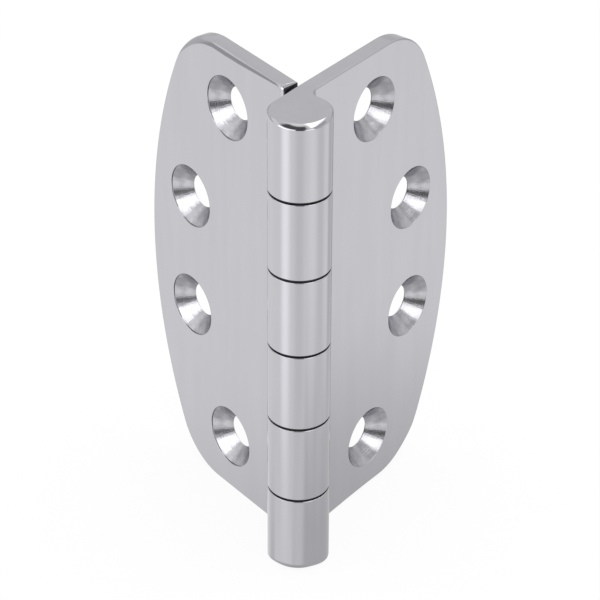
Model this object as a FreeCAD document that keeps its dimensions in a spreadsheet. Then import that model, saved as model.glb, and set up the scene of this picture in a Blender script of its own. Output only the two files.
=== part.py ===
import FreeCAD, Part
import math
import os

import Sketcher

# Crescent butt hinge: two stainless leaves with three interleaved knuckles each,
# a fixed pin, flanged bushes in the gaps and a plug under the pin.
# Origin: centre of the frame leaf's outer screw pair on its back face, mid-height.
# +Z runs up the hinge, +Y points from the frame leaf's back into the door frame.

KNUCKLES = 6  # barrel rows, counted from the bottom, frame leaf first

SIZES = {
    "leaf_height": 100.0,
    "leaf_reach": 51.85,  # barrel axis to the outermost point of the crescent
    "leaf_thickness": 3.4,
    "crescent_radius": 100.0,
    "corner_radius": 13.0,
    "edge_break": 0.5,  # outer edges of leaf and barrel ends, cut off at 45 degrees
    "barrel_diameter": 12.1,
    "web_fillet": 2.3,  # hollow between the leaf's front and the barrel
    "knuckle_gap": 0.5,
    "gap_lift": 0.35,  # the gaps lie this much above even division
    "open_angle": 285.0,  # between the leaves' screwed sides, as modelled
    "stop_clearance": 0.9,
    "notch_round": 0.6,
    "cap_thickness": 2.6,  # closed end of the top knuckle
    "screw_hole_diameter": 6.7,
    "countersink_diameter": 12.9,
    "countersink_angle": 90.0,
    "outer_hole_reach": 26.3,
    "outer_hole_spacing": 75.6,
    "inner_hole_reach": 38.9,
    "inner_hole_spacing": 25.2,
    "pin_diameter": 6.5,
    "pin_chamfer": 0.5,
    "pin_end_clearance": 0.3,
    "running_clearance": 0.05,
    "bush_wall": 1.0,
    "bush_length": 7.0,
    "flange_thickness": 0.45,
    "flange_recess": 0.4,  # from the barrel's surface in to the flange's rim
    "plug_length": 3.0,
    "plug_recess": 0.2,
    "plug_chamfer": 0.4,
}

# Expressions that several pieces share
BARREL_RADIUS = "(Sizes.barrel_diameter / 2)"
LEAF_FRONT = "(Sizes.barrel_diameter / 2 - Sizes.leaf_thickness)"
HALF_HEIGHT = "(Sizes.leaf_height / 2)"
PIN_RADIUS = "(Sizes.pin_diameter / 2)"
BUSH_BORE_RADIUS = "(Sizes.pin_diameter / 2 + Sizes.running_clearance)"
BUSH_RADIUS = "(Sizes.pin_diameter / 2 + Sizes.running_clearance + Sizes.bush_wall)"
PIN_FOOT = "(Sizes.plug_recess + Sizes.plug_length - Sizes.leaf_height / 2)"
# The leaf ends where its back edge meets the other leaf's back at full opening
NOTCH_REACH = (
    "(Sizes.barrel_diameter / 2 / tan((360 - Sizes.open_angle) * 1deg / 2) + Sizes.stop_clearance)"
)
# Cutting sketches run this far past the metal
OVERRUN = 3.0
# The two ends of a line or arc in a sketch's constraints
START, END = 1, 2

doc = FreeCAD.newDocument("crescent_butt_hinge")


def make_sheet():
    """Put every driving size in one spreadsheet, one alias a row."""
    sheet = doc.addObject("Spreadsheet::Sheet", "Sizes")
    for row, (name, value) in enumerate(SIZES.items(), start=1):
        sheet.set(f"A{row}", name)
        sheet.set(f"B{row}", str(value))
        sheet.setAlias(f"B{row}", name)
    doc.recompute()
    return sheet


sheet = make_sheet()


def value_of(expression):
    """Number that an expression on the sheet has now."""
    result = sheet.evalExpression(expression)
    return float(getattr(result, "Value", result))


def gap_height(number):
    """Expression for the middle of a gap, counted from 1 at the bottom."""
    return f"(Sizes.leaf_height * ({number} / {KNUCKLES} - 0.5) + Sizes.gap_lift)"


def make_body(name, turn="0", height="0", flipped=False):
    """Body on the barrel axis, turned about it and raised along it."""
    body = doc.addObject("PartDesign::Body", name)
    body.Label = name
    if flipped:
        body.Placement.Rotation = FreeCAD.Rotation(FreeCAD.Vector(1, 0, 0), 180)
    else:
        # The axis has to be set before the expression sets the angle
        body.Placement.Rotation = FreeCAD.Rotation(FreeCAD.Vector(0, 0, 1), 1)
        body.setExpression("Placement.Rotation.Angle", turn)
    body.setExpression("Placement.Base.x", "Sizes.outer_hole_reach")
    body.setExpression("Placement.Base.y", f"-{BARREL_RADIUS}")
    body.setExpression("Placement.Base.z", height)
    return body


def make_sketch(body, name, role, offset="0"):
    """Sketch on one of the body's own planes, moved along the plane's normal."""
    sketch = body.newObject("Sketcher::SketchObject", name)
    plane = next(item for item in body.Origin.OriginFeatures if item.Role == role)
    sketch.AttachmentSupport = [(plane, "")]
    sketch.MapMode = "FlatFace"
    sketch.setExpression("AttachmentOffset.Base.z", offset)
    return sketch


def bind(sketch, kind, geometry, expression):
    """Add a driving dimension and tie it to the sheet."""
    index = sketch.addConstraint(Sketcher.Constraint(kind, *geometry, value_of(expression)))
    sketch.setExpression(f"Constraints[{index}]", expression)


def hold(sketch, kind, geometry, point, expression):
    """Fix one point's distance from the sketch's origin along one direction."""
    value = value_of(expression)
    axis = -2 if kind == "DistanceX" else -1
    if abs(value) < 1e-9:
        sketch.addConstraint(Sketcher.Constraint("PointOnObject", geometry, point, axis))
    elif value > 0:
        bind(sketch, kind, (-1, 1, geometry, point), expression)
    else:
        bind(sketch, kind, (geometry, point, -1, 1), f"-({expression})")


def locate(sketch, geometry, point, across, up):
    """Fix one point of a sketch by both its distances from the sketch's origin."""
    hold(sketch, "DistanceX", geometry, point, across)
    hold(sketch, "DistanceY", geometry, point, up)


def add_polygon(sketch, corners):
    """Closed run of straight lines through corners given as pairs of expressions."""
    points = [FreeCAD.Vector(value_of(across), value_of(up), 0) for across, up in corners]
    for start, end in zip(points, points[1:] + points[:1]):
        sketch.addGeometry(Part.LineSegment(start, end), False)
    for index, corner in enumerate(corners):
        following = (index + 1) % len(corners)
        sketch.addConstraint(Sketcher.Constraint("Coincident", index, 2, following, 1))
        locate(sketch, index, 1, *corner)


def add_circle(sketch, across, up, radius):
    """Circle whose centre and radius are expressions."""
    centre = FreeCAD.Vector(value_of(across), value_of(up), 0)
    circle = Part.Circle(centre, FreeCAD.Vector(0, 0, 1), value_of(radius))
    index = sketch.addGeometry(circle, False)
    locate(sketch, index, 3, across, up)
    bind(sketch, "Radius", (index,), radius)


def arc(centre, radius, start, end):
    """Counter-clockwise arc between two angles in degrees."""
    circle = Part.Circle(FreeCAD.Vector(*centre, 0), FreeCAD.Vector(0, 0, 1), radius)
    return Part.ArcOfCircle(circle, math.radians(start), math.radians(end))


def line(start, end):
    """Straight line between two points of a sketch."""
    return Part.LineSegment(FreeCAD.Vector(*start, 0), FreeCAD.Vector(*end, 0))


def pocket(body, sketch, through=True, length="0", midplane=False):
    """Cut a sketch into the body and make sure that it took metal away."""
    before = body.Shape.Volume
    cut = body.newObject("PartDesign::Pocket", sketch.Name + "_cut")
    cut.Profile = sketch
    cut.Midplane = midplane
    if through:
        cut.Type = "ThroughAll"
    else:
        cut.Type = "Length"
        cut.setExpression("Length", length)
    doc.recompute()
    if body.Shape.Volume > before - 1e-3:
        raise RuntimeError(f"{cut.Name} removed nothing")


def leaf_section(body, side):
    """Plan section of a leaf: round barrel, hollow fillet, plate tangent at the back."""
    radius = value_of(BARREL_RADIUS)
    front = value_of(LEAF_FRONT)
    hollow = value_of("Sizes.web_fillet")
    end = side * (value_of("Sizes.leaf_reach") + OVERRUN)
    centre = (side * math.sqrt((radius + hollow) ** 2 - (front - hollow) ** 2), front - hollow)
    touch = math.degrees(math.atan2(centre[1], centre[0]))
    sketch = make_sketch(body, body.Name + "_section", "XY_Plane")
    if side > 0:
        barrel = arc((0, 0), radius, 90, 360 + touch)
        fillet = arc(centre, hollow, 90, 180 + touch)
        leafward, webward = START, END
    else:
        barrel = arc((0, 0), radius, touch, 450)
        fillet = arc(centre, hollow, touch - 180, 90)
        leafward, webward = END, START
    sketch.addGeometry(
        [
            barrel,
            fillet,
            line((centre[0], front), (end, front)),
            line((end, front), (end, radius)),
            line((end, radius), (0, radius)),
        ],
        False,
    )
    sketch.addConstraint(
        [
            Sketcher.Constraint("Coincident", 0, 3, -1, 1),
            Sketcher.Constraint("Tangent", 0, webward, 1, webward),
            Sketcher.Constraint("Tangent", 1, leafward, 2, 1),
            Sketcher.Constraint("Coincident", 2, 2, 3, 1),
            Sketcher.Constraint("Coincident", 3, 2, 4, 1),
            Sketcher.Constraint("Tangent", 4, 2, 0, leafward),
            Sketcher.Constraint("Horizontal", 2),
            Sketcher.Constraint("Vertical", 3),
            Sketcher.Constraint("Horizontal", 4),
        ]
    )
    bind(sketch, "Radius", (0,), BARREL_RADIUS)
    bind(sketch, "Radius", (1,), "Sizes.web_fillet")
    bind(sketch, "DistanceY", (2, 2, 3, 2), "Sizes.leaf_thickness")
    hold(sketch, "DistanceX", 2, 2, f"{side} * (Sizes.leaf_reach + {OVERRUN})")
    return sketch


def crescent_trim(body, side):
    """Waste outside the crescent: one long arc joined to the ends by corner arcs."""
    half = value_of(HALF_HEIGHT)
    radius = value_of("Sizes.crescent_radius")
    corner = value_of("Sizes.corner_radius")
    reach = value_of("Sizes.leaf_reach")
    middle = side * (reach - radius)
    corner_height = half - corner
    corner_across = middle + side * math.sqrt((radius - corner) ** 2 - corner_height ** 2)
    lean = math.degrees(math.asin(corner_height / (radius - corner)))
    outside = side * (reach + 2 * OVERRUN)
    top = half + OVERRUN
    sketch = make_sketch(body, body.Name + "_crescent", "XZ_Plane")
    if side > 0:
        arcs = [
            arc((corner_across, corner_height), corner, lean, 90),
            arc((middle, 0), radius, -lean, lean),
            arc((corner_across, -corner_height), corner, -90, -lean),
        ]
        first, last = START, END
    else:
        arcs = [
            arc((corner_across, corner_height), corner, 90, 180 - lean),
            arc((middle, 0), radius, 180 - lean, 180 + lean),
            arc((corner_across, -corner_height), corner, 180 + lean, 270),
        ]
        first, last = END, START
    sketch.addGeometry(
        arcs
        + [
            line((corner_across, -half), (corner_across, -top)),
            line((corner_across, -top), (outside, -top)),
            line((outside, -top), (outside, top)),
            line((outside, top), (corner_across, top)),
            line((corner_across, top), (corner_across, half)),
        ],
        False,
    )
    sketch.addConstraint(
        [
            Sketcher.Constraint("Tangent", 0, first, 1, last),
            Sketcher.Constraint("Tangent", 1, first, 2, last),
            Sketcher.Constraint("Coincident", 2, first, 3, 1),
            Sketcher.Constraint("Coincident", 3, 2, 4, 1),
            Sketcher.Constraint("Coincident", 4, 2, 5, 1),
            Sketcher.Constraint("Coincident", 5, 2, 6, 1),
            Sketcher.Constraint("Coincident", 6, 2, 7, 1),
            Sketcher.Constraint("Coincident", 7, 2, 0, last),
            Sketcher.Constraint("Vertical", 3),
            Sketcher.Constraint("Horizontal", 4),
            Sketcher.Constraint("Vertical", 5),
            Sketcher.Constraint("Horizontal", 6),
            Sketcher.Constraint("Vertical", 7),
            Sketcher.Constraint("Equal", 0, 2),
            Sketcher.Constraint("Symmetric", 0, 3, 2, 3, -1),
            Sketcher.Constraint("Vertical", 0, 3, 0, last),
            Sketcher.Constraint("Vertical", 2, 3, 2, first),
        ]
    )
    bind(sketch, "Radius", (0,), "Sizes.corner_radius")
    bind(sketch, "Radius", (1,), "Sizes.crescent_radius")
    hold(sketch, "DistanceY", 0, 3, f"{HALF_HEIGHT} - Sizes.corner_radius")
    hold(sketch, "DistanceX", 1, 3, f"{side} * (Sizes.leaf_reach - Sizes.crescent_radius)")
    locate(
        sketch, 5, 1, f"{side} * (Sizes.leaf_reach + {2 * OVERRUN})", f"-({HALF_HEIGHT} + {OVERRUN})"
    )
    hold(sketch, "DistanceY", 6, 1, f"{HALF_HEIGHT} + {OVERRUN}")
    return sketch


def notch_section(body, side, name, top):
    """Waste in one row of the other leaf, with the plate's front corner left round."""
    radius = value_of(BARREL_RADIUS)
    front = value_of(LEAF_FRONT)
    bend = value_of("Sizes.notch_round")
    reach = value_of(NOTCH_REACH)
    outside = radius + OVERRUN
    centre = (side * (reach + bend), front + bend)
    sketch = make_sketch(body, name, "XY_Plane", top)
    turn = arc(centre, bend, 180, 270) if side > 0 else arc(centre, bend, 270, 360)
    turn_front, turn_end = (END, START) if side > 0 else (START, END)
    sketch.addGeometry(
        [
            turn,
            line((side * reach, front + bend), (side * reach, outside)),
            line((side * reach, outside), (-side * outside, outside)),
            line((-side * outside, outside), (-side * outside, -outside)),
            line((-side * outside, -outside), (centre[0], -outside)),
            line((centre[0], -outside), (centre[0], front)),
        ],
        False,
    )
    sketch.addConstraint(
        [
            Sketcher.Constraint("Tangent", 0, turn_end, 1, 1),
            Sketcher.Constraint("Coincident", 1, 2, 2, 1),
            Sketcher.Constraint("Coincident", 2, 2, 3, 1),
            Sketcher.Constraint("Coincident", 3, 2, 4, 1),
            Sketcher.Constraint("Coincident", 4, 2, 5, 1),
            Sketcher.Constraint("Coincident", 5, 2, 0, turn_front),
            Sketcher.Constraint("Vertical", 1),
            Sketcher.Constraint("Horizontal", 2),
            Sketcher.Constraint("Vertical", 3),
            Sketcher.Constraint("Horizontal", 4),
            Sketcher.Constraint("Vertical", 5),
            Sketcher.Constraint("Vertical", 0, 3, 0, turn_front),
        ]
    )
    bind(sketch, "Radius", (0,), "Sizes.notch_round")
    locate(sketch, 0, turn_front, f"{side} * ({NOTCH_REACH} + Sizes.notch_round)", LEAF_FRONT)
    locate(
        sketch,
        3,
        1,
        f"-{side} * ({BARREL_RADIUS} + {OVERRUN})",
        f"{BARREL_RADIUS} + {OVERRUN}",
    )
    hold(sketch, "DistanceY", 4, 1, f"-({BARREL_RADIUS} + {OVERRUN})")
    return sketch


def cut_notches(body, side, rows):
    """Clear the rows of the barrel that belong to the other leaf."""
    for row in rows:
        top = f"({gap_height(row)} + Sizes.knuckle_gap / 2)"
        if row == KNUCKLES:
            top = f"({HALF_HEIGHT} + {OVERRUN})"
        foot = f"({gap_height(row - 1)} - Sizes.knuckle_gap / 2)"
        if row == 1:
            foot = f"(-{HALF_HEIGHT} - {OVERRUN})"
        sketch = notch_section(body, side, f"{body.Name}_notch_{row}", top)
        pocket(body, sketch, through=False, length=f"{top} - {foot}")


def outer_edges(shape):
    """Names of the edges round the outside of a leaf: its ends and its crescent."""
    half = value_of(HALF_HEIGHT)
    names = []
    for index, edge in enumerate(shape.Edges, start=1):
        box = edge.BoundBox
        at_an_end = box.ZLength < 1e-6 and abs(abs(box.ZMin) - half) < 1e-6
        on_the_crescent = box.YLength < 1e-6 and isinstance(edge.Curve, Part.Circle)
        if at_an_end or on_the_crescent:
            names.append(f"Edge{index}")
    return names


def break_outer_edges(body):
    """Take the sharpness off the edges that a hand meets."""
    base = body.Tip
    chamfer = body.newObject("PartDesign::Chamfer", body.Name + "_edges")
    chamfer.Base = (base, outer_edges(base.Shape))
    chamfer.setExpression("Size", "Sizes.edge_break")
    doc.recompute()


def drill_screw_holes(body, side):
    """Four countersunk holes: a wide outer pair and a narrow inner pair."""
    sketch = make_sketch(body, body.Name + "_screws", "XZ_Plane", f"-{LEAF_FRONT}")
    radius = "(Sizes.screw_hole_diameter / 2)"
    for pair in ("outer", "inner"):
        for end in (1, -1):
            across = f"{side} * Sizes.{pair}_hole_reach"
            up = f"{end} * Sizes.{pair}_hole_spacing / 2"
            add_circle(sketch, across, up, radius)
    doc.recompute()
    before = body.Shape.Volume
    hole = body.newObject("PartDesign::Hole", body.Name + "_countersinks")
    hole.Profile = sketch
    hole.ThreadType = "None"
    hole.DepthType = "ThroughAll"
    hole.HoleCutType = "Countersink"
    hole.setExpression("Diameter", "Sizes.screw_hole_diameter")
    hole.setExpression("HoleCutDiameter", "Sizes.countersink_diameter")
    hole.setExpression("HoleCutCountersinkAngle", "Sizes.countersink_angle")
    doc.recompute()
    if body.Shape.Volume > before - 1e-3:
        raise RuntimeError(f"{hole.Name} removed nothing")


def bore(body, radius, top):
    """Pin bore from the top height given down through the lowest knuckle."""
    sketch = make_sketch(body, body.Name + "_bore", "XY_Plane", top)
    add_circle(sketch, "0", "0", radius)
    doc.recompute()
    pocket(body, sketch)


def make_leaf(name, side, turn, other_rows, bore_radius, bore_top):
    """One leaf, run towards side (1 or -1) along X with its screwed face to -Y."""
    body = make_body(name, turn)
    section = leaf_section(body, side)
    blank = body.newObject("PartDesign::Pad", name + "_blank")
    blank.Profile = section
    blank.Midplane = True
    blank.setExpression("Length", "Sizes.leaf_height")
    doc.recompute()
    pocket(body, crescent_trim(body, side), midplane=True)
    cut_notches(body, side, other_rows)
    break_outer_edges(body)
    drill_screw_holes(body, side)
    bore(body, bore_radius, bore_top)
    return body


def make_turned(name, corners, height, flipped=False):
    """Round piece on the barrel axis, turned from a half section."""
    body = make_body(name, height=height, flipped=flipped)
    sketch = make_sketch(body, name + "_half", "XZ_Plane")
    add_polygon(sketch, corners)
    turned = body.newObject("PartDesign::Revolution", name + "_turned")
    turned.Profile = sketch
    turned.ReferenceAxis = (sketch, ["V_Axis"])
    turned.Angle = 360
    doc.recompute()
    return body


def make_pin():
    """Plain pin with chamfered ends, from the plug up into the closed top knuckle."""
    length = f"({HALF_HEIGHT} - Sizes.cap_thickness - Sizes.pin_end_clearance - {PIN_FOOT})"
    chamfer = "Sizes.pin_chamfer"
    corners = [
        ("0", "0"),
        (f"{PIN_RADIUS} - {chamfer}", "0"),
        (PIN_RADIUS, chamfer),
        (PIN_RADIUS, f"{length} - {chamfer}"),
        (f"{PIN_RADIUS} - {chamfer}", length),
        ("0", length),
    ]
    return make_turned("hinge_pin", corners, PIN_FOOT)


def make_plug():
    """Plug that closes the bore under the pin, just inside the knuckle's end."""
    chamfer = "Sizes.plug_chamfer"
    corners = [
        ("0", "0"),
        (f"{PIN_RADIUS} - {chamfer}", "0"),
        (PIN_RADIUS, chamfer),
        (PIN_RADIUS, "Sizes.plug_length"),
        ("0", "Sizes.plug_length"),
    ]
    return make_turned("end_plug", corners, f"Sizes.plug_recess - {HALF_HEIGHT}")


def make_bush(number):
    """Flanged bush in a door knuckle, its flange filling the gap beside the knuckle."""
    gap = KNUCKLES - number
    flange_radius = f"({BARREL_RADIUS} - Sizes.flange_recess)"
    far_end = "(Sizes.flange_thickness + Sizes.bush_length)"
    corners = [
        (BUSH_BORE_RADIUS, "0"),
        (flange_radius, "0"),
        (flange_radius, "Sizes.flange_thickness"),
        (BUSH_RADIUS, "Sizes.flange_thickness"),
        (BUSH_RADIUS, far_end),
        (BUSH_BORE_RADIUS, far_end),
    ]
    # Odd gaps lie under a door knuckle, even gaps on top of one
    on_top = gap % 2 == 0
    reach = "(Sizes.knuckle_gap / 2 - Sizes.flange_thickness)"
    height = f"{gap_height(gap)} {'-' if on_top else '+'} {reach}"
    return make_turned(f"flanged_bush_{number}", corners, height, flipped=on_top)


def check_everything(pieces):
    """Stop if any object failed or any piece is not one closed valid solid."""
    for item in doc.Objects:
        if "Invalid" in item.State or "Error" in item.State:
            raise RuntimeError(f"{item.Name} is {item.State}")
    for piece in pieces:
        shape = piece.Shape
        if shape.isNull() or not shape.isValid() or len(shape.Solids) != 1:
            raise RuntimeError(f"{piece.Label} has no single valid solid")


frame_rows = [row for row in range(1, KNUCKLES + 1) if row % 2 == 1]
door_rows = [row for row in range(1, KNUCKLES + 1) if row % 2 == 0]
pieces = [
    make_leaf("frame_leaf", -1, "0", door_rows, PIN_RADIUS, HALF_HEIGHT),
    make_leaf(
        "door_leaf",
        1,
        "Sizes.open_angle - 180",
        frame_rows,
        BUSH_RADIUS,
        f"{HALF_HEIGHT} - Sizes.cap_thickness",
    ),
    make_pin(),
    make_plug(),
]
for number in range(1, KNUCKLES):
    pieces.append(make_bush(number))

doc.recompute()
check_everything(pieces)

os.makedirs("parts", exist_ok=True)
for piece in pieces:
    piece.Shape.exportStep(f"parts/{piece.Label}.step")
    box = piece.Shape.BoundBox
    low = f"{box.XMin:.2f} {box.YMin:.2f} {box.ZMin:.2f}"
    high = f"{box.XMax:.2f} {box.YMax:.2f} {box.ZMax:.2f}"
    print(f"{piece.Label}: {piece.Shape.Volume:.1f} mm3, {low} to {high}")
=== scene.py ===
import math

import bmesh
import bpy
from mathutils import Matrix, Vector


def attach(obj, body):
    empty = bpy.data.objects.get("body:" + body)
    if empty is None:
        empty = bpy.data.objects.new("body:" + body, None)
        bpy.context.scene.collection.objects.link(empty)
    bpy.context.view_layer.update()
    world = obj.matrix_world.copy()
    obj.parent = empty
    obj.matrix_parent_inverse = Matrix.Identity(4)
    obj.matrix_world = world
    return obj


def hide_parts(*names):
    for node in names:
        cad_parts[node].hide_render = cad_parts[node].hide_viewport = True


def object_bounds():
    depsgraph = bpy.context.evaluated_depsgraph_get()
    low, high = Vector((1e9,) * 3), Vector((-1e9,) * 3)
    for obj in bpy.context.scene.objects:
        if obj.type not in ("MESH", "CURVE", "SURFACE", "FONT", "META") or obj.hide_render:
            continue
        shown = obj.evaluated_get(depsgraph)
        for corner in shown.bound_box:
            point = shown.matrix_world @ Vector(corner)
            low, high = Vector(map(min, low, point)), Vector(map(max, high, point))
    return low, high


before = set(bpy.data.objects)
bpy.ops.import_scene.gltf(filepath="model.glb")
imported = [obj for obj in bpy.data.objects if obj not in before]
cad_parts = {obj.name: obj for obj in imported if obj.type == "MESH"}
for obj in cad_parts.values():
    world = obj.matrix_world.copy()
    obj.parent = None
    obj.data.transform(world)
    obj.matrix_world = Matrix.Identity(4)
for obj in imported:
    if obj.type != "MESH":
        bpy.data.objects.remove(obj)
cad_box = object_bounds()

# Sizes of the leaves in millimetres, the same as the solids'.
# A leaf is drawn with the barrel's axis at the origin, its plate along +X,
# its screwed front at y = FRONT and its back at y = BARREL_RADIUS.
BARREL_RADIUS = 6.05
LEAF_THICKNESS = 3.4
FRONT = BARREL_RADIUS - LEAF_THICKNESS
HALF_HEIGHT = 50.0
REACH = 51.85
CRESCENT_RADIUS = 100.0
CORNER_RADIUS = 13.0
WEB_FILLET = 2.3
KNUCKLES = 6
KNUCKLE_GAP = 0.5
GAP_LIFT = 0.35
OPEN_ANGLE = 285.0
STOP_CLEARANCE = 0.9
NOTCH_ROUND = 0.6
NOTCH_REACH = BARREL_RADIUS / math.tan(math.radians(360 - OPEN_ANGLE) / 2) + STOP_CLEARANCE
CAP_THICKNESS = 2.6
SCREW_RADIUS = 3.35
COUNTERSINK_RADIUS = 6.45
HOLES = [(26.3, 37.8), (26.3, -37.8), (38.9, 12.6), (38.9, -12.6)]
FRAME_BORE = 3.25
DOOR_BORE = 4.3

# Radii of the polished edges, in millimetres
TOP_ROUND = 1.0  # top end of the barrel, on the side away from the leaf
BOTTOM_ROUND = 1.7  # bottom end of the barrel, likewise
RIM_SIDE_ROUND = 0.35  # ends of the barrel, beside the leaf
LEAF_ROUND = 0.35  # outline of the leaves
CORNER_ROUND = 1.5  # front edge at the outer corner, at the end without the leaf's own knuckle
END_ROUND = 1.5  # front edge of that end beside the other leaf's knuckle, worn by the polishing
WORN_ROUND = 1.2  # outer edge of the end wall there, at the front
WORN_DROP, WORN_SETBACK = 1.2, 0.6  # shares of WORN_ROUND along the wall and along the end
KNUCKLE_ROUND = 0.14  # knuckle ends beside the gaps
RUN_OUT_SHARE = 0.8  # share of KNUCKLE_ROUND that is lost towards the plate
SINK_ROUND = 0.12  # outer rims of the countersinks
FRAME_LAND = 0.3  # straight wall between a countersink's rim and its cone, frame leaf
DOOR_LAND = 0.06  # the same on the door leaf, drilled less deep
HOLE_ROUND = 0.1  # rims of the screw holes on the back
HOLE_WALL = 0.02  # straight wall that stays between that rim and the cone at least

# Sections of the rounded edges: 2 is a round, 1 a chamfer
ROUND_POWER = 2.0
TOP_POWER = 1.2  # top end of the barrel
WORN_POWER = 1.3  # outer edge of the end wall

# Where the edges' radii turn into one another: degrees round the barrel from the leaf's
# direction, or millimetres from the barrel's axis along the leaf if nothing else is said
RIM_MIDDLE = 225.0  # degrees; the barrel's ends are rounded most here
RIM_TURN = (30.0, 85.0)  # degrees to either side of that, over which the round gets smaller
RIM_END, LEAF_START = 2.0, 9.0  # from the barrel's radius to the leaf's
WORN_START = 11.0  # the end's front edge gets wider from here towards the notch
CORNER_RUN = (0.0, 28.0)  # the front edge gets wider towards the outer corner
CORNER_FALL = (41.0, 48.0)  # the same in millimetres from the middle of the height
BACK_RUN_OUT = (-2.5, -0.5)  # a knuckle's round gets smaller towards the leaf's back
WEB_RUN_OUT = (3.0, 5.8)  # and towards the web fillet

# Steps of the curved outlines, in degrees and millimetres
FINE_STEP = 2.8
SMALL_STEP = 7.0  # of the web fillet and the notch's round
CRESCENT_STEP = 1.2
BORE_STEP = 4.0
LINE_STEP = 0.5
KNUCKLE_SKIP = 2.5 * FINE_STEP  # from the plate to where a knuckle's rounded end begins
ROUND_STEPS = 8  # faces across a rounded edge
SINK_TURNS = (0.0, 22.5, 45.0, 67.5, 90.0)  # points across a countersink's outer rim
HOLE_TURNS = (0.0, 30.0, 60.0, 90.0)  # points across a screw hole's rim on the back
TURN_SEGMENTS = 120  # faces round a screw hole
OVERRUN = 10.0  # cutters reach this far past the metal
SKIRT = 0.5  # cutters of rounded edges reach this far outside the edge

# Clean-up and shading of the finished meshes
MERGE_GAP = 3e-4  # millimetres; closer points become one
PLANE_ANGLE = 0.2  # degrees; faces that differ less are joined
SHARP_ANGLE = 35.0  # degrees; faces that meet at a larger angle are shaded apart
FLAT_AREA = 20e-6  # square metres; larger faces are the leaves' and knuckles' flats
SINK_LEAN = 0.75  # faces in a hole point along its axis by less than this
WALL_LEAN = 0.9  # end walls point along the leaf by more than this
SINK_SLOT, SHADED_END_WALL_SLOT = 1, 2  # a leaf's other materials, counted after the polished steel; the second is the end walls' painted shade

MM = 0.001
AXIS = Vector((0.0263, -0.00605, 0.0))  # barrel's axis in the row's frame, in metres
SWING = OPEN_ANGLE - 180.0  # door leaf's plate from the frame's +X, in degrees


def arc(centre, radius, start, end, step):
    """Points along an arc, both ends included, angles in degrees."""
    count = max(2, math.ceil(abs(end - start) / step))
    points = []
    for index in range(count + 1):
        angle = math.radians(start + (end - start) * index / count)
        points.append((centre[0] + radius * math.cos(angle), centre[1] + radius * math.sin(angle)))
    return points


def finish_mesh(name, work):
    """Object from a bmesh, linked to the scene."""
    bmesh.ops.recalc_face_normals(work, faces=work.faces)
    mesh = bpy.data.meshes.new(name)
    work.to_mesh(mesh)
    work.free()
    made = bpy.data.objects.new(name, mesh)
    bpy.context.scene.collection.objects.link(made)
    return made


def skin(work, rings, closed):
    """Quads between rings of points; the ends are closed by a face each unless the rings meet."""
    rows = [[work.verts.new(place) for place in ring] for ring in rings]
    count = len(rows[0])
    pairs = list(zip(rows, rows[1:]))
    if closed:
        pairs.append((rows[-1], rows[0]))
    for near, far in pairs:
        for index in range(count):
            following = (index + 1) % count
            work.faces.new((near[index], near[following], far[following], far[index]))
    if not closed:
        work.faces.new(rows[0])
        work.faces.new(rows[-1])


def prism(name, outline, low, high, upright=True):
    """Closed prism over an outline, along Z or, if not upright, along Y."""
    rings = []
    for level in (low, high):
        if upright:
            rings.append([(across, up, level) for across, up in outline])
        else:
            rings.append([(across, level, up) for across, up in outline])
    work = bmesh.new()
    skin(work, rings, closed=False)
    return finish_mesh(name, work)


def turned(name, centre, profile):
    """Closed body turned about a line along Y through centre, from (y, radius) pairs."""
    rings = []
    for along, radius in profile:
        ring = []
        for index in range(TURN_SEGMENTS):
            angle = 2 * math.pi * index / TURN_SEGMENTS
            across = centre[0] + radius * math.cos(angle)
            up = centre[1] + radius * math.sin(angle)
            ring.append((across, along, up))
        rings.append(ring)
    work = bmesh.new()
    skin(work, rings, closed=False)
    return finish_mesh(name, work)


def apply_modifiers(made):
    """Replace the object's mesh by what its modifiers give."""
    graph = bpy.context.evaluated_depsgraph_get()
    graph.update()
    mesh = bpy.data.meshes.new_from_object(made.evaluated_get(graph))
    made.modifiers.clear()
    old = made.data
    made.data = mesh
    bpy.data.meshes.remove(old)


def combine(made, tool, operation):
    """Boolean of two objects; the tool is used up."""
    modifier = made.modifiers.new("combine", "BOOLEAN")
    modifier.object = tool
    modifier.operation = operation
    modifier.solver = "MANIFOLD"
    apply_modifiers(made)
    mesh = tool.data
    bpy.data.objects.remove(tool)
    bpy.data.meshes.remove(mesh)


def tidy_mesh(made):
    """Merge coincident points and join flat faces that lie in one plane."""
    work = bmesh.new()
    work.from_mesh(made.data)
    bmesh.ops.remove_doubles(work, verts=work.verts, dist=MERGE_GAP)
    bmesh.ops.dissolve_degenerate(work, dist=MERGE_GAP, edges=work.edges)
    bmesh.ops.dissolve_limit(
        work, angle_limit=math.radians(PLANE_ANGLE), verts=work.verts, edges=work.edges
    )
    work.to_mesh(made.data)
    work.free()
    made.data.materials.clear()


def smooth_step(low, high, value):
    """0 below low, 1 above high and an even turn between."""
    share = min(1.0, max(0.0, (value - low) / (high - low)))
    return share * share * (3 - 2 * share)


def gap_height(number):
    """Middle of a gap, counted from 1 at the bottom."""
    return 2 * HALF_HEIGHT * (number / KNUCKLES - 0.5) + GAP_LIFT


def web_centre():
    """Axis of the hollow fillet between barrel and plate, and the barrel angle where it starts."""
    reach_in = FRONT - WEB_FILLET
    centre = (math.sqrt((BARREL_RADIUS + WEB_FILLET) ** 2 - reach_in ** 2), reach_in)
    return centre, math.degrees(math.atan2(centre[1], centre[0]))


def leaf_section():
    """Plan of a leaf: round barrel, hollow web fillet and plate tangent at the back."""
    centre, touch = web_centre()
    end = REACH + OVERRUN
    barrel = arc((0, 0), BARREL_RADIUS, 90, 360 + touch, FINE_STEP)
    web = arc(centre, WEB_FILLET, 180 + touch, 90, SMALL_STEP)
    return barrel + web[1:] + [(end, FRONT), (end, BARREL_RADIUS)]


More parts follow.
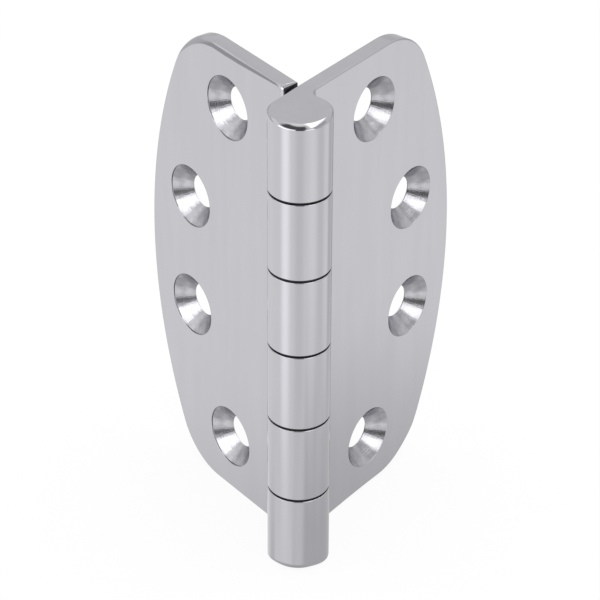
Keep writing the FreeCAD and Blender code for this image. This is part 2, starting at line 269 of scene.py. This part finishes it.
def crescent_curve():
    """Outer edge from the bottom to the top of a leaf: a long arc between two corner arcs."""
    middle = REACH - CRESCENT_RADIUS
    corner_up = HALF_HEIGHT - CORNER_RADIUS
    inner = CRESCENT_RADIUS - CORNER_RADIUS
    corner_across = middle + math.sqrt(inner ** 2 - corner_up ** 2)
    lean = math.degrees(math.asin(corner_up / inner))
    low = arc((corner_across, -corner_up), CORNER_RADIUS, -90, -lean, FINE_STEP)
    long = arc((middle, 0), CRESCENT_RADIUS, -lean, lean, CRESCENT_STEP)
    high = arc((corner_across, corner_up), CORNER_RADIUS, lean, 90, FINE_STEP)
    return low + long[1:] + high[1:]


def crescent_outline():
    """Front view of a leaf, closed inside the barrel."""
    inside = -BARREL_RADIUS - OVERRUN
    return [(inside, -HALF_HEIGHT)] + crescent_curve() + [(inside, HALF_HEIGHT)]


def notch_outline():
    """Plan of what is cut away beside the other leaf's knuckles."""
    outside = BARREL_RADIUS + OVERRUN
    centre = (NOTCH_REACH + NOTCH_ROUND, FRONT + NOTCH_ROUND)
    turn = arc(centre, NOTCH_ROUND, 270, 180, SMALL_STEP)
    return turn + [
        (NOTCH_REACH, outside),
        (-outside, outside),
        (-outside, -outside),
        (centre[0], -outside),
    ]


def line(start, end):
    """Numbers from start up to end, end left out."""
    count = max(1, math.ceil(abs(end - start) / LINE_STEP))
    return [start + (end - start) * index / count for index in range(count)]


def end_edge(side):
    """Edge of one end of a leaf, from its front corner round the barrel to its back corner.

    side is 1 at the top and -1 at the bottom. Each entry has a place, the end's normal
    and the normal of the wall below it.
    """
    centre, touch = web_centre()
    corner = crescent_curve()[-1][0]
    walls = []
    for across in line(corner, centre[0]):
        walls.append(((across, FRONT), (0, -1)))
    for across, depth in arc(centre, WEB_FILLET, 90, 180 + touch, SMALL_STEP)[:-1]:
        inward = ((centre[0] - across) / WEB_FILLET, (centre[1] - depth) / WEB_FILLET)
        walls.append(((across, depth), inward))
    for across, depth in arc((0, 0), BARREL_RADIUS, 360 + touch, 90, FINE_STEP):
        walls.append(((across, depth), (across / BARREL_RADIUS, depth / BARREL_RADIUS)))
    for across in line(0.0, corner)[1:]:
        walls.append(((across, BARREL_RADIUS), (0, 1)))
    level = side * HALF_HEIGHT
    return [
        (Vector((*place, level)), Vector((0, 0, side)), Vector((*normal, 0)))
        for place, normal in walls
    ]


def crescent_edge(depth, side):
    """Crescent's edge at one face of a leaf, from the bottom to the top."""
    points = crescent_curve()
    last = len(points) - 1
    path = []
    for index, (across, up) in enumerate(points):
        along = Vector(points[min(index + 1, last)]) - Vector(points[max(index - 1, 0)])
        along.normalize()
        normal = (along.y, 0, -along.x)
        if index in (0, last):
            normal = (0, 0, math.copysign(1, up))
        path.append((Vector((across, depth, up)), Vector(normal), Vector((0, side, 0))))
    return path


def outer_edge():
    """Closed path round the whole outer edge of a leaf, front and back."""
    path = end_edge(1)
    path += crescent_edge(BARREL_RADIUS, 1)[::-1]
    path += end_edge(-1)[::-1]
    path += crescent_edge(FRONT, -1)[1:-1]
    return path


def outer_radius(place, barrel_side):
    """Polished radius of the outer edge at a place, in millimetres.

    barrel_side is 1 for the leaf whose knuckle ends the barrel at the top,
    and -1 for the one whose knuckle ends it at the bottom.
    """
    if place.z * barrel_side < 0:
        run = min(1.0, max(0.0, (WORN_START - place.x) / (WORN_START - NOTCH_REACH)))
        front = 1 - smooth_step(FRONT, BARREL_RADIUS, place.y)
        corner = smooth_step(*CORNER_RUN, place.x) * smooth_step(*CORNER_FALL, abs(place.z))
        worn = (END_ROUND - LEAF_ROUND) * run * run + (CORNER_ROUND - LEAF_ROUND) * corner
        return LEAF_ROUND + worn * front
    away = abs((math.degrees(math.atan2(place.y, place.x)) - RIM_MIDDLE + 180) % 360 - 180)
    widest = TOP_ROUND if barrel_side > 0 else BOTTOM_ROUND
    rim = widest + (RIM_SIDE_ROUND - widest) * smooth_step(*RIM_TURN, away)
    return rim + (LEAF_ROUND - rim) * smooth_step(RIM_END, LEAF_START, place.x)


def outer_power(place, barrel_side):
    """Section of the outer edge: a polished chamfer at the barrel's top, else a round."""
    if barrel_side < 0 or place.z < 0:
        return ROUND_POWER
    share = smooth_step(RIM_END, LEAF_START, place.x)
    return TOP_POWER + (ROUND_POWER - TOP_POWER) * share


def round_power(_):
    """A round section at every place."""
    return ROUND_POWER


def knuckle_edge(height, side):
    """Path round the barrel at a knuckle's end that faces a gap, half a step off its facets."""
    _, touch = web_centre()
    path = []
    start = 90 + KNUCKLE_SKIP
    end = 360 + touch - KNUCKLE_SKIP
    for across, depth in arc((0, 0), BARREL_RADIUS, start, end, FINE_STEP):
        outward = Vector((across, depth, 0)) / BARREL_RADIUS
        path.append((Vector((across, depth, height)), Vector((0, 0, side)), outward))
    return path


def knuckle_radius(place):
    """Radius of a knuckle's end, smaller towards the plate."""
    if place.y > FRONT:
        share = smooth_step(*BACK_RUN_OUT, place.x)
    else:
        share = smooth_step(*WEB_RUN_OUT, place.x)
    return KNUCKLE_ROUND * (1 - RUN_OUT_SHARE * share)


def worn_edge(barrel_side):
    """Path along the outer edge of a leaf's end wall, beside the other leaf's end knuckle.

    The two directions aren't of length 1, so the worn edge reaches further along the wall.
    """
    level = -barrel_side * HALF_HEIGHT
    up = Vector((0, 0, -barrel_side * WORN_DROP))
    inward = Vector((-WORN_SETBACK, 0, 0))
    depths = line(FRONT - SKIRT, BARREL_RADIUS + SKIRT)
    return [(Vector((NOTCH_REACH, depth, level)), up, inward) for depth in depths]


def worn_radius(place):
    """Radius of the end wall's outer edge, smaller towards the back."""
    run = min(1.0, max(0.0, (BARREL_RADIUS - place.y) / LEAF_THICKNESS))
    return LEAF_ROUND + (WORN_ROUND - LEAF_ROUND) * run


def worn_power(_):
    """The worn edge's section at every place."""
    return WORN_POWER


def edge_cutter(path, radius_of, closed, power_of=round_power):
    """Body that rounds the edge along a path when it is cut away."""
    rings = []
    for place, end_normal, side_normal in path:
        radius = radius_of(place)
        power = 2 / power_of(place)
        middle = place - radius * (end_normal + side_normal)
        ring = []
        for index in range(ROUND_STEPS + 1):
            angle = math.pi / 2 * index / ROUND_STEPS
            toward_end = abs(math.cos(angle)) ** power
            toward_side = math.sin(angle) ** power
            ring.append(middle + radius * (toward_end * end_normal + toward_side * side_normal))
        ring[0] = 2 * ring[0] - ring[1]
        ring[-1] = 2 * ring[-1] - ring[-2]
        ring.append(place + SKIRT * side_normal - radius * end_normal)
        ring.append(place + SKIRT * (side_normal + end_normal))
        ring.append(place + SKIRT * end_normal - radius * side_normal)
        rings.append(ring)
    work = bmesh.new()
    skin(work, rings, closed)
    return finish_mesh("edge", work)


def sink_profile(land):
    """Half section of the tool that cuts a screw hole, as pairs of depth and radius.

    land is the straight wall between the countersink's rim and its cone.
    """
    profile = [(FRONT - OVERRUN / 2, COUNTERSINK_RADIUS + SINK_ROUND)]
    for angle in SINK_TURNS:
        turn = math.radians(angle)
        radius = COUNTERSINK_RADIUS + SINK_ROUND * (1 - math.sin(turn))
        profile.append((FRONT + SINK_ROUND * (1 - math.cos(turn)), radius))
    profile.append((FRONT + land, COUNTERSINK_RADIUS))
    cone_end = FRONT + land + COUNTERSINK_RADIUS - SCREW_RADIUS
    deepest = BARREL_RADIUS - HOLE_ROUND - HOLE_WALL
    profile.append((min(cone_end, deepest), SCREW_RADIUS))
    for angle in HOLE_TURNS:
        turn = math.radians(angle)
        depth = BARREL_RADIUS - HOLE_ROUND * (1 - math.sin(turn))
        profile.append((depth, SCREW_RADIUS + HOLE_ROUND * (1 - math.cos(turn))))
    profile.append((BARREL_RADIUS + OVERRUN / 2, SCREW_RADIUS + HOLE_ROUND))
    return profile


def mark_surfaces(made):
    """Materials inside the screw holes and on the end walls, and each point's place in its hole."""
    mesh = made.data
    places = mesh.attributes.new("hole_place", "FLOAT_VECTOR", "POINT")
    for vert in mesh.vertices:
        for across, up in HOLES:
            offset = (vert.co.x - across, vert.co.z - up)
            if math.hypot(*offset) < COUNTERSINK_RADIUS + SINK_ROUND:
                places.data[vert.index].vector = (offset[0], offset[1], vert.co.y)
    for face in mesh.polygons:
        for across, up in HOLES:
            away = math.hypot(face.center.x - across, face.center.z - up)
            if away < COUNTERSINK_RADIUS and abs(face.normal.y) < SINK_LEAN:
                face.material_index = SINK_SLOT
        # end walls beside the other leaf's knuckle get the near-black painted shade
        if face.normal.x < -WALL_LEAN and abs(face.center.x - NOTCH_REACH) < NOTCH_ROUND / 4:
            face.material_index = SHADED_END_WALL_SLOT


def smooth_shading(made):
    """Even shading on round faces; a large flat face keeps its own direction up to its edges."""
    mesh = made.data
    around = [[] for _ in mesh.vertices]
    faces = [(face.normal.copy(), face.area) for face in mesh.polygons]
    for face in mesh.polygons:
        for corner in face.vertices:
            around[corner].append(face.index)
    limit = math.cos(math.radians(SHARP_ANGLE))
    normals = []
    for face in mesh.polygons:
        own = faces[face.index][0]
        for corner in face.vertices:
            near = [faces[index] for index in around[corner]]
            near = [(normal, area) for normal, area in near if normal.dot(own) > limit]
            widest, area = max(near, key=lambda entry: entry[1])
            if area < FLAT_AREA:
                widest = sum((normal * size for normal, size in near), Vector())
            normals.append(widest.normalized())
        face.use_smooth = True
    mesh.normals_split_custom_set(normals)


def make_leaf(name, node_name, body, barrel_side, bore_radius, bore_top):
    """One leaf with polished edges, in the place of its solid."""
    made = prism(name, leaf_section(), -HALF_HEIGHT - OVERRUN, HALF_HEIGHT + OVERRUN)
    crescent = prism("crescent", crescent_outline(), -2 * OVERRUN, 2 * OVERRUN, upright=False)
    combine(made, crescent, "INTERSECT")

    def radius_here(place):
        return outer_radius(place, barrel_side)

    def power_here(place):
        return outer_power(place, barrel_side)

    combine(made, edge_cutter(outer_edge(), radius_here, True, power_here), "DIFFERENCE")
    own_remainder = 0 if barrel_side > 0 else 1
    for row in range(1, KNUCKLES + 1):
        if row % 2 == own_remainder:
            continue
        low = gap_height(row - 1) - KNUCKLE_GAP / 2 if row > 1 else -HALF_HEIGHT - OVERRUN
        high = gap_height(row) + KNUCKLE_GAP / 2 if row < KNUCKLES else HALF_HEIGHT + OVERRUN
        combine(made, prism("notch", notch_outline(), low, high), "DIFFERENCE")
        if row > 1:
            cutter = edge_cutter(knuckle_edge(low, 1), knuckle_radius, False)
            combine(made, cutter, "DIFFERENCE")
        if row < KNUCKLES:
            cutter = edge_cutter(knuckle_edge(high, -1), knuckle_radius, False)
            combine(made, cutter, "DIFFERENCE")
    worn_cutter = edge_cutter(worn_edge(barrel_side), worn_radius, False, worn_power)
    combine(made, worn_cutter, "DIFFERENCE")
    land = DOOR_LAND if barrel_side > 0 else FRAME_LAND
    for hole in HOLES:
        combine(made, turned("countersink", hole, sink_profile(land)), "DIFFERENCE")
    circle = arc((0, 0), bore_radius, 0, 360, BORE_STEP)[:-1]
    combine(made, prism("bore", circle, -HALF_HEIGHT - OVERRUN, bore_top), "DIFFERENCE")
    tidy_mesh(made)
    mark_surfaces(made)
    mirrored = barrel_side < 0
    turn = SWING if barrel_side > 0 else 0.0
    place = Matrix.Translation(AXIS) @ Matrix.Rotation(math.radians(turn), 4, "Z")
    scale = Matrix.Diagonal((-MM if mirrored else MM, MM, MM, 1.0))
    made.data.transform(place @ scale)
    if mirrored:
        made.data.flip_normals()
    made.data.update()
    smooth_shading(made)
    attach(made, body)
    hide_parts(node_name)
    return made


def node(tree, kind, **values):
    """Shader node with its properties or, for names of sockets, their values set."""
    made = tree.nodes.new(kind)
    for name, value in values.items():
        if hasattr(made, name):
            setattr(made, name, value)
        else:
            made.inputs[name].default_value = value
    return made


def new_material(name):
    """Empty node material and its tree."""
    material = bpy.data.materials.new(name)
    material.use_nodes = True
    material.node_tree.nodes.clear()
    return material, material.node_tree


def math_node(tree, operation, first, second=None):
    """Result of one sum; each input is a number or another node's socket."""
    made = node(tree, "ShaderNodeMath", operation=operation)
    for socket, value in zip(made.inputs, (first, second)):
        if isinstance(value, bpy.types.NodeSocket):
            tree.links.new(value, socket)
        elif value is not None:
            socket.default_value = value
    return made.outputs[0]


def steel_shader(tree, colour, roughness):
    """Metal surface wired to the output."""
    shader = node(tree, "ShaderNodeBsdfPrincipled", Metallic=1.0, Roughness=roughness)
    shader.inputs["Base Color"].default_value = (*colour, 1.0)
    output = node(tree, "ShaderNodeOutputMaterial")
    tree.links.new(shader.outputs[0], output.inputs["Surface"])
    return shader


STEEL_COLOUR = (0.553, 0.549, 0.583)
# near-black colour of the end walls: painted shade for the shadowed slit beside the other leaf's
# knuckle, not the steel's own colour
END_WALL_SHADE_COLOUR = (0.09, 0.09, 0.1)
PIN_COLOUR = (0.36, 0.36, 0.38)
PLASTIC_COLOUR = (0.012, 0.012, 0.014)
NOISE_RANGE = (0.3, 0.7)  # where nearly all of a noise texture's values lie
CHATTER_DRIFT = 0.06  # how far the chatter marks wander with each millimetre of depth


def object_place(tree, scale=None):
    """Each point's own place on its object, in metres, scaled along the axes if asked."""
    place = node(tree, "ShaderNodeTexCoord").outputs["Object"]
    if scale is None:
        return place
    stretch = node(tree, "ShaderNodeMapping", Scale=scale)
    tree.links.new(place, stretch.inputs["Vector"])
    return stretch.outputs[0]


def noise(tree, place, **values):
    """Value of a noise texture at each place."""
    made = node(tree, "ShaderNodeTexNoise", **values)
    tree.links.new(place, made.inputs["Vector"])
    return made.outputs["Fac"]


def spread(tree, value, low, high):
    """A noise, spread so that nearly all of it lies between low and high."""
    made = node(tree, "ShaderNodeMapRange")
    made.inputs["From Min"].default_value = NOISE_RANGE[0]
    made.inputs["From Max"].default_value = NOISE_RANGE[1]
    made.inputs["To Min"].default_value = low
    made.inputs["To Max"].default_value = high
    tree.links.new(value, made.inputs["Value"])
    return made.outputs[0]


def bump(tree, height, strength, distance, under=None):
    """Normals of a relief, distance metres high, laid over those of another one if given."""
    made = node(tree, "ShaderNodeBump", Strength=strength, Distance=distance)
    tree.links.new(height, made.inputs["Height"])
    if under is not None:
        tree.links.new(under, made.inputs["Normal"])
    return made.outputs[0]


def shade_by(tree, shader, value, darkest, lightest):
    """The steel's colour, made darker or lighter by a noise."""
    colour = node(tree, "ShaderNodeMix", data_type="RGBA", blend_type="MULTIPLY")
    first, second = [socket for socket in colour.inputs if socket.type == "RGBA"]
    colour.inputs["Factor"].default_value = 1.0
    first.default_value = (*STEEL_COLOUR, 1.0)
    tree.links.new(spread(tree, value, darkest, lightest), second)
    result = [socket for socket in colour.outputs if socket.type == "RGBA"][0]
    tree.links.new(result, shader.inputs["Base Color"])


def polished_steel():
    """Mirror-polished stainless with a faint haze, and hairlines and streaks along the barrel."""
    material, tree = new_material("polished_steel")
    shader = steel_shader(tree, STEEL_COLOUR, roughness=0.1)
    haze = noise(tree, object_place(tree), Scale=60.0, Detail=5.0, Roughness=0.6)
    tree.links.new(spread(tree, haze, low=0.08, high=0.13), shader.inputs["Roughness"])
    along = object_place(tree, scale=(1.0, 1.0, 0.02))
    hairs = noise(tree, along, Scale=9000.0, Detail=2.0)
    relief = bump(tree, hairs, strength=0.03, distance=0.00002)
    tree.links.new(relief, shader.inputs["Normal"])
    along = object_place(tree, scale=(1.0, 1.0, 0.12))
    streaks = noise(tree, along, Scale=260.0, Detail=3.0, Roughness=0.55)
    shade_by(tree, shader, streaks, darkest=0.985, lightest=1.022)
    return material


def around_hole(tree, across, up, depth):
    """Place that changes with the direction from a hole's axis, and only a little with depth."""
    outward = node(tree, "ShaderNodeCombineXYZ")
    tree.links.new(across, outward.inputs["X"])
    tree.links.new(up, outward.inputs["Y"])
    around = node(tree, "ShaderNodeVectorMath", operation="NORMALIZE")
    tree.links.new(outward.outputs[0], around.inputs[0])
    rise = node(tree, "ShaderNodeCombineXYZ")
    tree.links.new(math_node(tree, "MULTIPLY", depth, CHATTER_DRIFT), rise.inputs["Z"])
    made = node(tree, "ShaderNodeVectorMath", operation="ADD")
    tree.links.new(around.outputs[0], made.inputs[0])
    tree.links.new(rise.outputs[0], made.inputs[1])
    return made.outputs[0]


def turned_steel():
    """Countersinks as the drill left them: rings, chatter marks across them and blotches."""
    material, tree = new_material("turned_steel")
    shader = steel_shader(tree, STEEL_COLOUR, roughness=0.09)
    place = node(tree, "ShaderNodeAttribute", attribute_name="hole_place").outputs["Vector"]
    split = node(tree, "ShaderNodeSeparateXYZ")
    tree.links.new(place, split.inputs[0])
    across, up, depth = split.outputs
    rings = node(tree, "ShaderNodeTexNoise", noise_dimensions="1D", Scale=9.0, Detail=4.0)
    tree.links.new(depth, rings.inputs["W"])
    blotches = noise(tree, place, Scale=0.5, Detail=2.5, Roughness=0.5)
    chatter = noise(tree, around_hole(tree, across, up, depth), Scale=13.0, Detail=2.0)
    relief = bump(tree, blotches, strength=0.4, distance=0.00006)
    relief = bump(tree, rings.outputs["Fac"], strength=0.5, distance=0.00003, under=relief)
    relief = bump(tree, chatter, strength=1.0, distance=0.000022, under=relief)
    tree.links.new(relief, shader.inputs["Normal"])
    shade_by(tree, shader, blotches, darkest=0.82, lightest=1.15)
    return material


def milled_steel_painted_shade():
    """End walls beside the knuckles: dull cutter marks that no polishing reached, on a near-black
    colour that is painted shade for the shadowed slit beside the other leaf's knuckle.
    """
    material, tree = new_material("milled_steel_painted_shade")
    shader = steel_shader(tree, END_WALL_SHADE_COLOUR, roughness=0.4)
    along = object_place(tree, scale=(1.0, 1.0, 0.05))
    marks = noise(tree, along, Scale=5000.0, Detail=3.0)
    relief = bump(tree, marks, strength=0.4, distance=0.00002)
    tree.links.new(relief, shader.inputs["Normal"])
    return material


def pin_steel():
    """Plain turned pin and plug."""
    material, tree = new_material("pin_steel")
    shader = steel_shader(tree, PIN_COLOUR, roughness=0.28)
    around = object_place(tree, scale=(0.05, 0.05, 1.0))
    rings = noise(tree, around, Scale=6000.0, Detail=3.0)
    relief = bump(tree, rings, strength=0.15, distance=0.00002)
    tree.links.new(relief, shader.inputs["Normal"])
    return material


def bush_plastic():
    """Dark self-lubricating plastic with a fine grain."""
    material, tree = new_material("bush_plastic")
    shader = node(tree, "ShaderNodeBsdfPrincipled", Roughness=0.55)
    shader.inputs["Base Color"].default_value = (*PLASTIC_COLOUR, 1.0)
    output = node(tree, "ShaderNodeOutputMaterial")
    tree.links.new(shader.outputs[0], output.inputs["Surface"])
    grain = noise(tree, object_place(tree), Scale=3000.0, Detail=3.0)
    relief = bump(tree, grain, strength=0.2, distance=0.00003)
    tree.links.new(relief, shader.inputs["Normal"])
    return material


# The photograph's camera, from a fit to the leaf edges, holes and barrel
CAMERA_OFFSET = Vector((0.38377, -0.29240, 0.31733))  # from the barrel's middle, in metres
CAMERA_AHEAD = Vector((-0.67033, 0.51100, -0.53806))  # direction of view
CAMERA_ROLL = 0.005332  # radians
LENS, SENSOR = 183.237, 36.0  # millimetres
NEAREST, FARTHEST = 0.01, 20.0  # metres


def make_camera():
    """Camera with the photograph's view."""
    ahead = CAMERA_AHEAD.normalized()
    right = ahead.cross(Vector((0, 0, 1))).normalized()
    up = right.cross(ahead)
    across = math.cos(CAMERA_ROLL) * right + math.sin(CAMERA_ROLL) * up
    upward = -math.sin(CAMERA_ROLL) * right + math.cos(CAMERA_ROLL) * up
    camera = bpy.data.cameras.new("camera")
    camera.sensor_width = SENSOR
    camera.lens = LENS
    camera.clip_start = NEAREST
    camera.clip_end = FARTHEST
    made = bpy.data.objects.new("camera", camera)
    turn = Matrix((across, upward, -ahead)).transposed().to_4x4()
    made.matrix_world = Matrix.Translation(AXIS + CAMERA_OFFSET) @ turn
    bpy.context.scene.collection.objects.link(made)
    bpy.context.scene.camera = made


# Azimuths of the studio are counted from the photograph's side of the hinge,
# positive to the right of the photograph, elevations from the horizon, both in degrees.
STUDIO_AZIMUTH = -37.3

DIFFUSE_LEVEL = 0.8  # brightness of the surround for rays off dull surfaces
FLOOR_HALF = 4.0  # half the floor's side, in metres
FLOOR_COLOUR = (0.9, 0.9, 0.9, 1.0)
FLOOR_WHITE = 0.92  # share of plain white that the camera sees; the rest keeps the shadow
LAMP_SIZE, LAMP_WATTS = 1.2, 9.0  # size in metres
LAMP_PLACE = (0.0, 0.1, 1.4)  # metres

# Brightness of the surround as it rises: elevation, brightness
LEVELS = [
    (-90.0, 0.5),
    (-60.0, 0.62),
    (-39.0, 0.68),
    (-33.5, 0.98),
    (-26.0, 0.97),
    (-18.0, 0.92),
    (0.0, 0.8),
    (20.0, 0.78),
    (45.0, 0.78),
    (60.0, 0.85),
    (75.0, 1.1),
]

# Soft dark gaps and bright panels in the surround, each over the ones before it:
# azimuth from, to, softness, elevation from, to, softness, brightness
AREAS = [
    (20.0, 190.0, 12.0, -60.0, -34.5, 2.5, 0.62),
    (-100.0, -20.0, 10.0, -46.0, -36.0, 2.0, 0.95),
    (-190.0, -112.0, 8.0, -20.0, 12.0, 5.0, 0.65),
    (96.0, 190.0, 6.0, -20.0, 20.0, 5.0, 0.66),
    (128.0, 146.0, 5.0, -5.0, 12.0, 4.0, 0.45),
    (118.0, 190.0, 8.0, -35.0, -20.0, 3.0, 0.66),
    (-190.0, -130.0, 8.0, -46.0, -20.0, 5.0, 0.88),
    (-112.0, -92.0, 8.0, -17.0, 30.0, 4.0, 0.48),
    (-114.0, -76.0, 5.0, 24.0, 46.0, 3.0, 1.0),
    (55.0, 98.0, 4.0, 30.0, 44.0, 3.0, 0.55),
    (-85.0, -45.0, 10.0, -12.0, 20.0, 6.0, 1.2),
    (-66.0, -38.0, 11.0, -35.0, -20.0, 3.0, 1.34),
    (-16.0, 14.0, 11.0, -45.0, -22.0, 5.0, 0.84),
    (32.0, 56.0, 9.0, -34.0, -22.0, 3.0, 1.05),
    (66.0, 92.0, 9.0, -35.0, -22.0, 3.0, 0.84),
    (54.0, 78.0, 6.0, -18.0, 3.0, 4.0, 0.3),
    (-72.0, -18.0, 4.0, 12.0, 38.0, 4.0, 2.1),
    (18.0, 50.0, 4.0, 11.0, 37.0, 4.0, 1.9),
    (44.0, 140.0, 8.0, 46.0, 80.0, 3.0, 2.1),
    (-26.0, 26.0, 6.0, -11.0, 6.0, 4.0, 0.1),
    (-70.0, 26.0, 6.0, 41.0, 63.0, 4.0, 0.1),
    (-16.0, 16.0, 4.0, -11.0, 60.0, 4.0, 0.1),
]


def step_node(tree, value, low, high):
    """0 at low, 1 at high and an even turn between."""
    made = node(tree, "ShaderNodeMapRange", interpolation_type="SMOOTHSTEP")
    made.inputs["From Min"].default_value = low
    made.inputs["From Max"].default_value = high
    tree.links.new(value, made.inputs["Value"])
    return made.outputs[0]


def span_node(tree, value, low, high, soft):
    """1 between low and high, 0 outside, with soft ends."""
    rise = step_node(tree, value, low - soft, low + soft)
    fall = step_node(tree, value, high + soft, high - soft)
    return math_node(tree, "MULTIPLY", rise, fall)


def blend_node(tree, share, first, second):
    """Mix of two numbers; each is a number or another node's socket."""
    made = node(tree, "ShaderNodeMix", data_type="FLOAT")
    for index, value in ((0, share), (2, first), (3, second)):
        if isinstance(value, bpy.types.NodeSocket):
            tree.links.new(value, made.inputs[index])
        else:
            made.inputs[index].default_value = value
    return made.outputs[0]


def make_world():
    """Surround: plain white for the camera, gaps and panels for the metal to mirror."""
    world = bpy.data.worlds.new("studio")
    bpy.context.scene.world = world
    world.use_nodes = True
    tree = world.node_tree
    tree.nodes.clear()
    links = tree.links
    ray = node(tree, "ShaderNodeTexCoord").outputs["Generated"]
    turn = node(tree, "ShaderNodeVectorRotate", rotation_type="Z_AXIS")
    turn.inputs["Angle"].default_value = -math.radians(STUDIO_AZIMUTH)
    links.new(ray, turn.inputs["Vector"])
    split = node(tree, "ShaderNodeSeparateXYZ")
    links.new(turn.outputs[0], split.inputs[0])
    across = math_node(tree, "ARCTAN2", split.outputs["Y"], split.outputs["X"])
    azimuth = math_node(tree, "DEGREES", across)
    elevation = math_node(tree, "DEGREES", math_node(tree, "ARCSINE", split.outputs["Z"]))
    surround = LEVELS[0][1]
    for (low, _), (high, brightness) in zip(LEVELS, LEVELS[1:]):
        surround = blend_node(tree, step_node(tree, elevation, low, high), surround, brightness)
    for start, end, soft, low, high, blur, brightness in AREAS:
        width = span_node(tree, azimuth, start, end, soft)
        height = span_node(tree, elevation, low, high, blur)
        mask = math_node(tree, "MULTIPLY", width, height)
        surround = blend_node(tree, mask, surround, brightness)
    path = node(tree, "ShaderNodeLightPath")
    mirrored = blend_node(tree, path.outputs["Is Glossy Ray"], DIFFUSE_LEVEL, surround)
    seen = blend_node(tree, path.outputs["Is Camera Ray"], mirrored, 1.0)
    background = node(tree, "ShaderNodeBackground")
    background.inputs["Color"].default_value = (1.0, 1.0, 1.0, 1.0)
    links.new(seen, background.inputs["Strength"])
    output = node(tree, "ShaderNodeOutputWorld")
    links.new(background.outputs[0], output.inputs["Surface"])


def make_floor():
    """Plain white floor that keeps a soft shadow."""
    work = bmesh.new()
    corners = [(-1, -1), (1, -1), (1, 1), (-1, 1)]
    level = cad_box[0].z
    places = [(FLOOR_HALF * across, FLOOR_HALF * along, level) for across, along in corners]
    work.faces.new([work.verts.new(place) for place in places])
    floor = finish_mesh("floor", work)
    material, tree = new_material("floor_white")
    paper = node(tree, "ShaderNodeBsdfDiffuse")
    paper.inputs["Color"].default_value = FLOOR_COLOUR
    white = node(tree, "ShaderNodeEmission", Strength=1.0)
    path = node(tree, "ShaderNodeLightPath")
    share = math_node(tree, "MULTIPLY", path.outputs["Is Camera Ray"], FLOOR_WHITE)
    blend = node(tree, "ShaderNodeMixShader")
    tree.links.new(share, blend.inputs[0])
    tree.links.new(paper.outputs[0], blend.inputs[1])
    tree.links.new(white.outputs[0], blend.inputs[2])
    output = node(tree, "ShaderNodeOutputMaterial")
    tree.links.new(blend.outputs[0], output.inputs["Surface"])
    floor.data.materials.append(material)
    floor.visible_glossy = False


def make_lamp():
    """One large soft lamp above, for the shadow under the hinge."""
    lamp = bpy.data.lights.new("overhead", "AREA")
    lamp.shape = "DISK"
    lamp.size = LAMP_SIZE
    lamp.energy = LAMP_WATTS
    made = bpy.data.objects.new("overhead", lamp)
    made.location = LAMP_PLACE
    made.visible_glossy = False
    bpy.context.scene.collection.objects.link(made)


steel = polished_steel()
sink = turned_steel()
# end walls: milled steel whose near-black colour is painted shade
milled_painted_shade = milled_steel_painted_shade()
pin = pin_steel()
plastic = bush_plastic()

above = HALF_HEIGHT + OVERRUN
below_cap = HALF_HEIGHT - CAP_THICKNESS
frame_leaf = make_leaf("frame_leaf_polished", "frame_leaf", "frame", -1, FRAME_BORE, above)
door_leaf = make_leaf("door_leaf_polished", "door_leaf", "door", 1, DOOR_BORE, below_cap)
for leaf in (frame_leaf, door_leaf):
    for material in (steel, sink, milled_painted_shade):
        leaf.data.materials.append(material)

for name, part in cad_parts.items():
    part.data.materials.clear()
    if name.startswith("flanged_bush"):
        part.data.materials.append(plastic)
    elif name in ("hinge_pin", "end_plug"):
        part.data.materials.append(pin)
    else:
        part.data.materials.append(steel)

make_camera()
make_world()
make_floor()
make_lamp()
bpy.context.scene.view_settings.view_transform = "Standard"
